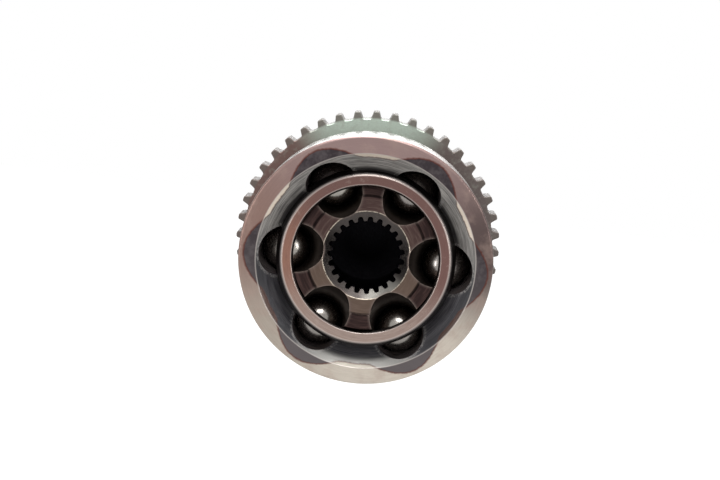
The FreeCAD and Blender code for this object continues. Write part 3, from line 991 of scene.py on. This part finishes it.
def pinCutter():
    s = bellSizes
    deselectAll()
    bpy.ops.mesh.primitive_cylinder_add(
        vertices=s["pinCutSides"], radius=s["pinHole"] * mm, depth=s["pinCutLength"] * mm,
        location=(0, (s["end"] - s["pinFromEnd"]) * mm, 0))
    cutter = bpy.context.object
    bpy.ops.object.transform_apply()
    return cutter


def cutSpline(bell):
    # draws every second group of columns in to the roots of the teeth
    s = bellSizes
    columns = s["steps"] // s["splineTeeth"]
    low = s["spline"] - s["splineDepth"]
    slack = 0.01
    for vertex in bell.data.vertices:
        place = vertex.co / mm
        radius = math.hypot(place.x, place.z)
        if not s["splineStart"] - slack < place.y < s["splineEnd"] + slack:
            continue
        if low < radius < s["spline"] + slack:
            column = round(math.degrees(math.atan2(place.z, place.x)) / 360 * s["steps"]) % columns
            if column >= columns // 2:
                vertex.co.x *= low / radius
                vertex.co.z *= low / radius


def makeBell():
    s = bellSizes
    threadRise, endRise = s["threadChamfer"]
    cavity = arc(s["innerSphere"], *s["cavityAngles"], s["arcSteps"])
    # radius, along, rounding
    corners = [(0, s["cavityFloor"], 0), (s["floorFlat"], s["cavityFloor"], 0)] + cavity + [
        (*s["coneStart"], 0),
        (s["coneAtFace"], s["face"], 0.25),
        (s["outside"], s["face"], 1.0),
        (s["outside"], s["landEnd"], 0.9),
        (s["grooveFloor"], s["landEnd"], 0.5),
        (s["grooveFloor"], s["grooveEnd"], 0.3),
        (s["ringStop"], s["grooveEnd"] + s["ringStopRise"], 0.3),
        (s["ringStop"], s["ringFront"], 0.3),
        (s["ringSeat"], s["ringFront"], 0),
        (s["ringSeat"], s["back"], s["shoulder"]),
        (s["hubFace"], s["back"], 0.5),
        (s["hubFace"], s["hubSeat"], 1.0),
        (s["root"], s["hubSeat"], 1.0),
        (s["root"], s["splineStart"], 0.15),
        (s["spline"], s["splineStart"], 0),
        (s["spline"], s["splineEnd"] - s["splineChamfer"], 0.1),
        (s["spline"] - s["splineChamfer"], s["splineEnd"], 0.1),
        (s["neck"], s["splineEnd"], 0.6),
        (s["neck"], s["threadStart"], 0.2),
        (s["threadRoot"], s["threadStart"] + threadRise, 0.1),
        (s["threadRoot"], s["end"] - endRise, 0.2),
        (s["thread"] - s["endChamfer"], s["end"], 0.2),
        (s["centreHole"], s["end"], 0.2),
        (0, s["end"] - s["centreDepth"], 0),
    ]
    bell = turnOnLathe("bell", corners, s["steps"], closed=False, segments=s["cornerSteps"])
    cutSpline(bell)
    for number in range(trackSizes["count"]):
        cutAway(bell, trackCutter(-trackSizes["offset"], -trackSizes["mouthAngle"], trackSizes["rearAngle"],
                                  360 * number / trackSizes["count"]))
    cutAway(bell, pinCutter())
    finishPiece(bell, "outer_race", "bell_steel",
                [faceSteel(), landSteel(), trackSteel(), forgedSteel(), splineSteel()], "outer_race")
    for face in bell.data.polygons:
        face.material_index = bellRegion(face.center / mm, face.normal)
    return bell


threadSizes = {
    "pitch": 1.5,
    "startGap": 0.9,            # from the threaded length's start and from the stub's end
    "endGap": 1.1,
    "sunk": 0.25,               # the ridge's foot lies this deep in the stub
    "halfFoot": 0.72,
    "halfTop": 0.13,
    "halfCrest": 0.06,
    "crestRound": 0.08,
    "runOut": 1.2,              # the ridge rises and falls over this
    "runOutAhead": 0.3,
    "leastRise": 0.05,
    "steps": 60,
}


def makeThread():
    # one section of the ridge, wound along the stub and run out at both ends
    s = threadSizes
    first = bellSizes["threadStart"] + s["startGap"]
    last = bellSizes["end"] - s["endGap"]
    low = bellSizes["threadRoot"] - s["sunk"]
    top = bellSizes["thread"]
    half = [(low, s["halfFoot"]), (top - s["crestRound"], s["halfTop"]), (top, s["halfCrest"])]
    section = [(out, -along) for out, along in half] + half[::-1]
    deselectAll()
    bpy.ops.mesh.primitive_circle_add(vertices=len(section), radius=1, fill_type="NOTHING")
    thread = bpy.context.object
    thread.name = "axleThread"
    for vertex, (out, along) in zip(thread.data.vertices, section):
        vertex.co = (out * mm, (first + s["halfFoot"] + along) * mm, 0)
    winding = thread.modifiers.new("winding", "SCREW")
    winding.axis = "Y"
    winding.angle = 2 * math.pi
    winding.screw_offset = s["pitch"] * mm
    winding.iterations = int((last - first - 2 * s["halfFoot"]) / s["pitch"])
    winding.steps = s["steps"]
    winding.render_steps = s["steps"]
    winding.use_smooth_shade = True
    makeActive(thread)
    bpy.ops.object.modifier_apply(modifier=winding.name)
    bpy.ops.object.mode_set(mode="EDIT")
    bpy.ops.mesh.select_all(action="SELECT")
    bpy.ops.mesh.fill_holes(sides=0)
    bpy.ops.mesh.normals_make_consistent(inside=False)
    bpy.ops.object.mode_set(mode="OBJECT")
    for vertex in thread.data.vertices:
        out = math.hypot(vertex.co.x, vertex.co.z) / mm
        along = vertex.co.y / mm
        nearest = min(along - first, last - along)
        share = min((nearest + s["runOutAhead"]) / s["runOut"], 1)
        wanted = low + (out - low) * max(share, s["leastRise"])
        vertex.co.x *= wanted / out
        vertex.co.z *= wanted / out
    cutAway(thread, pinCutter())
    finishPiece(thread, "outer_race", "bell_steel", [splineSteel()])
    return thread


bell = makeBell()
thread = makeThread()
print("bell made", len(bell.data.polygons), len(thread.data.polygons))

ringSizes = {
    "teeth": 44,
    "phase": 6.3,               # first gap, from ball 1
    "bore": 39.0,
    "front": 17.7,
    "back": 25.7,
    "edge": 0.3,
    # half a tooth, from the middle of its tip: across the tooth, from the axis
    "halfTooth": ((0, 47.85), (0.55, 47.83), (0.82, 47.73), (1.02, 47.55), (1.13, 47.25), (1.28, 46.75),
                  (1.43, 46.25), (1.58, 45.8), (1.72, 45.5), (1.95, 45.29), (2.3, 45.2), (2.75, 45.2)),
}


def ringOutline():
    s = ringSizes
    pitch = 360 / s["teeth"]
    half = [(math.degrees(math.atan2(across, out)), math.hypot(across, out)) for across, out in s["halfTooth"]]
    tooth = [(-angle, out) for angle, out in reversed(half[1:])] + half + [(pitch / 2, s["halfTooth"][-1][1])]
    start = s["phase"] + pitch / 2
    points = []
    for number in range(s["teeth"]):
        for angle, out in tooth:
            turned = math.radians(angle + pitch * number + start)
            points.append(Vector((out * math.cos(turned), out * math.sin(turned))))
    return points


def makeRing():
    s = ringSizes
    points = ringOutline()
    count = len(points)
    inner = []
    for number, point in enumerate(points):
        along = (points[(number + 1) % count] - points[number - 1]).normalized()
        inner.append(point - Vector((along.y, -along.x)) * s["edge"])
    bore = [point.normalized() * s["bore"] for point in points]
    boreEdge = [point.normalized() * (s["bore"] + s["edge"]) for point in points]
    # round the ring's section, back to where it starts
    loops = [(points, s["front"] + s["edge"]), (points, s["back"] - s["edge"]), (inner, s["back"]),
             (boreEdge, s["back"]), (bore, s["back"] - s["edge"]), (bore, s["front"] + s["edge"]),
             (boreEdge, s["front"]), (inner, s["front"]), (points, s["front"] + s["edge"])]
    deselectAll()
    bpy.ops.mesh.primitive_circle_add(vertices=count, radius=1, fill_type="NOTHING")
    ring = bpy.context.object
    ring.name = "toneRing"
    bpy.ops.object.mode_set(mode="EDIT")
    bpy.ops.mesh.select_all(action="SELECT")
    for step in loops[1:]:
        bpy.ops.mesh.extrude_edges_move(TRANSFORM_OT_translate={"value": (0, 0, 1)})
    bpy.ops.object.mode_set(mode="OBJECT")
    for vertex in ring.data.vertices:
        angle = math.degrees(math.atan2(vertex.co.y, vertex.co.x))
        column = round(angle / 360 * count) % count
        spots, along = loops[round(vertex.co.z)]
        vertex.co = (spots[column].x * mm, along * mm, spots[column].y * mm)
    closeUp(ring)
    finishPiece(ring, "outer_race", "ring_steel", [ringSteel()], "tone_ring")
    return ring


ring = makeRing()
print("ring made", len(ring.data.polygons))

cageSizes = {
    "tilt": 6.25,
    "outer": 31.3,
    "inner": 26.86,
    "innerAtRim": 24.1,
    "halfWidth": 13.4,
    "rimChamfer": 0.6,
    "lip": 24.7,
    "lipRound": 0.3,
    "rimRound": 0.25,
    "windowHeight": 16.475,
    "windowWidth": 19.075,
    "windowDepth": 20,
    "windowRadius": 28,         # the middle of that depth, from the axis
    "windowCorner": 3.5,
    "cornerSteps": 8,
    "arcSteps": 30,
    "steps": 240,
}


def windowCutter(azimuth):
    # a block with its four edges along the radius rounded
    s = cageSizes
    deselectAll()
    bpy.ops.mesh.primitive_cube_add(size=1)
    window = bpy.context.object
    window.data.transform(Matrix.Diagonal(
        (s["windowDepth"] * mm, s["windowHeight"] * mm, s["windowWidth"] * mm, 1)))
    window.data.transform(Matrix.Translation((s["windowRadius"] * mm, 0, 0)))
    makeActive(window)
    bpy.ops.object.mode_set(mode="EDIT")
    bpy.ops.mesh.select_mode(type="EDGE")
    bpy.ops.mesh.select_all(action="DESELECT")
    bpy.ops.object.mode_set(mode="OBJECT")
    for edge in window.data.edges:
        ends = [window.data.vertices[index].co for index in edge.vertices]
        edge.select = abs(ends[0].x - ends[1].x) > 1 * mm
    bpy.ops.object.mode_set(mode="EDIT")
    bpy.ops.mesh.bevel(offset=s["windowCorner"] * mm, segments=s["cornerSteps"])
    bpy.ops.object.mode_set(mode="OBJECT")
    window.data.transform(Matrix.Rotation(math.radians(-azimuth), 4, "Y"))
    return window


def makeCage():
    s = cageSizes
    rim = s["halfWidth"]
    edge = math.sqrt(s["outer"] ** 2 - rim ** 2) - s["rimChamfer"]
    outerTurn = math.degrees(math.asin((rim - s["rimChamfer"]) / s["outer"]))
    innerTurn = math.degrees(math.acos(s["innerAtRim"] / s["inner"]))
    corners = [(s["lip"], -rim, s["lipRound"]), (edge, -rim, s["rimRound"])]
    corners += arc(s["outer"], -outerTurn, outerTurn, s["arcSteps"])
    corners += [(edge, rim, s["rimRound"]), (s["lip"], rim, s["lipRound"])]
    corners += arc(s["inner"], innerTurn, -innerTurn, s["arcSteps"])
    cage = turnOnLathe("cage", corners, s["steps"])
    for number in range(trackSizes["count"]):
        cutAway(cage, windowCutter(360 * number / trackSizes["count"]))
    tilt(cage, s["tilt"])
    finishPiece(cage, "cage", "cage_steel", [cageSteel()], "cage")
    return cage


cage = makeCage()
print("cage made", len(cage.data.polygons))

raceSizes = {
    "tilt": 12.5,
    "sphere": 26.8,
    "sphereEnd": 24.5,
    "boss": 10.5,
    "bossEdge": 19.6,
    "shoulder": 11.1,
    "shoulderEdge": 20.1,
    "edgeRound": 0.1,
    "bore": 11.4,
    "chamferRadius": 14.7,
    "chamferDepth": 2.1,
    "chamferRound": 0.15,
    "splineTeeth": 23,
    "splinePhase": 11.1,
    "arcSteps": 30,
    "steps": 230,
    # half a tooth in five columns: place across the pitch, from the axis
    "splineColumns": ((0.06, 11.4), (0.155, 11.43), (0.21, 11.95), (0.285, 12.75), (0.42, 12.95)),
}


def cutBore(race):
    # moves the bore's columns to the outline of the spline's teeth
    s = raceSizes
    pitch = 360 / s["splineTeeth"]
    columns = s["steps"] // s["splineTeeth"]
    slope = s["chamferDepth"] / (s["chamferRadius"] - s["bore"])
    for vertex in race.data.vertices:
        if math.hypot(vertex.co.x, vertex.co.z) / mm >= s["bore"] + 0.01:
            continue
        angle = math.degrees(math.atan2(vertex.co.z, vertex.co.x)) + pitch / columns / 2
        tooth = round(angle / pitch)
        # columns -4 to 5, with the tooth's middle between 0 and 1
        column = round((angle / pitch - tooth) * columns + 0.5)
        share, wanted = s["splineColumns"][column - 1 if column > 0 else -column]
        turned = math.radians((tooth + (share if column > 0 else -share)) * pitch)
        along = s["boss"] - slope * (s["chamferRadius"] - wanted)
        vertex.co = (wanted * mm * math.cos(turned), math.copysign(along * mm, vertex.co.y),
                     wanted * mm * math.sin(turned))
    race.data.transform(Matrix.Rotation(math.radians(pitch / 2 - s["splinePhase"]), 4, "Y"))


def makeRace():
    s = raceSizes
    turn = math.degrees(math.acos(s["sphereEnd"] / s["sphere"]))
    front = [(s["bore"], s["chamferDepth"] - s["boss"], 0),
             (s["chamferRadius"], -s["boss"], s["chamferRound"]),
             (s["bossEdge"], -s["boss"], s["edgeRound"]),
             (s["shoulderEdge"], -s["shoulder"], s["edgeRound"])]
    back = [(radius, -along, rounding) for radius, along, rounding in reversed(front)]
    race = turnOnLathe("innerRace", front + arc(s["sphere"], -turn, turn, s["arcSteps"]) + back, s["steps"])
    cutBore(race)
    # each ring cuts two tracks, one on each side
    for number in range(trackSizes["count"] // 2):
        cutAway(race, trackCutter(trackSizes["offset"], 0, 360, 360 * number / trackSizes["count"]))
    tilt(race, s["tilt"])
    finishPiece(race, "inner_race", "race_steel", [raceSteel()], "inner_race")
    return race


race = makeRace()
print("inner race made", len(race.data.polygons))

ballSizes = {
    "onCage": (1, 4),           # these lie on the bending axis and ride with the cage
    "cuts": 27,
}


def makeBall(number, finish):
    # a cube cut fine and blown up to a sphere, in the solid ball's place
    low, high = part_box("ball_%d" % number)
    centre = (low + high) / 2
    radius = (high - low).x / 2
    deselectAll()
    bpy.ops.mesh.primitive_cube_add(size=2 * radius)
    ball = bpy.context.object
    ball.name = "ball%d" % number
    bpy.ops.object.mode_set(mode="EDIT")
    bpy.ops.mesh.select_all(action="SELECT")
    bpy.ops.mesh.subdivide(number_cuts=ballSizes["cuts"])
    bpy.ops.transform.tosphere(value=1)
    bpy.ops.object.mode_set(mode="OBJECT")
    for vertex in ball.data.vertices:
        vertex.co = vertex.co.normalized() * radius
    ball.data.transform(Matrix.Translation(centre))
    body = "cage" if number in ballSizes["onCage"] else "ball_%d" % number
    finishPiece(ball, body, "ball_steel", [finish], "ball_%d" % number)
    return ball


ballFinish = ballSteel()
balls = [makeBall(number + 1, ballFinish) for number in range(trackSizes["count"])]
print("balls made", len(balls))
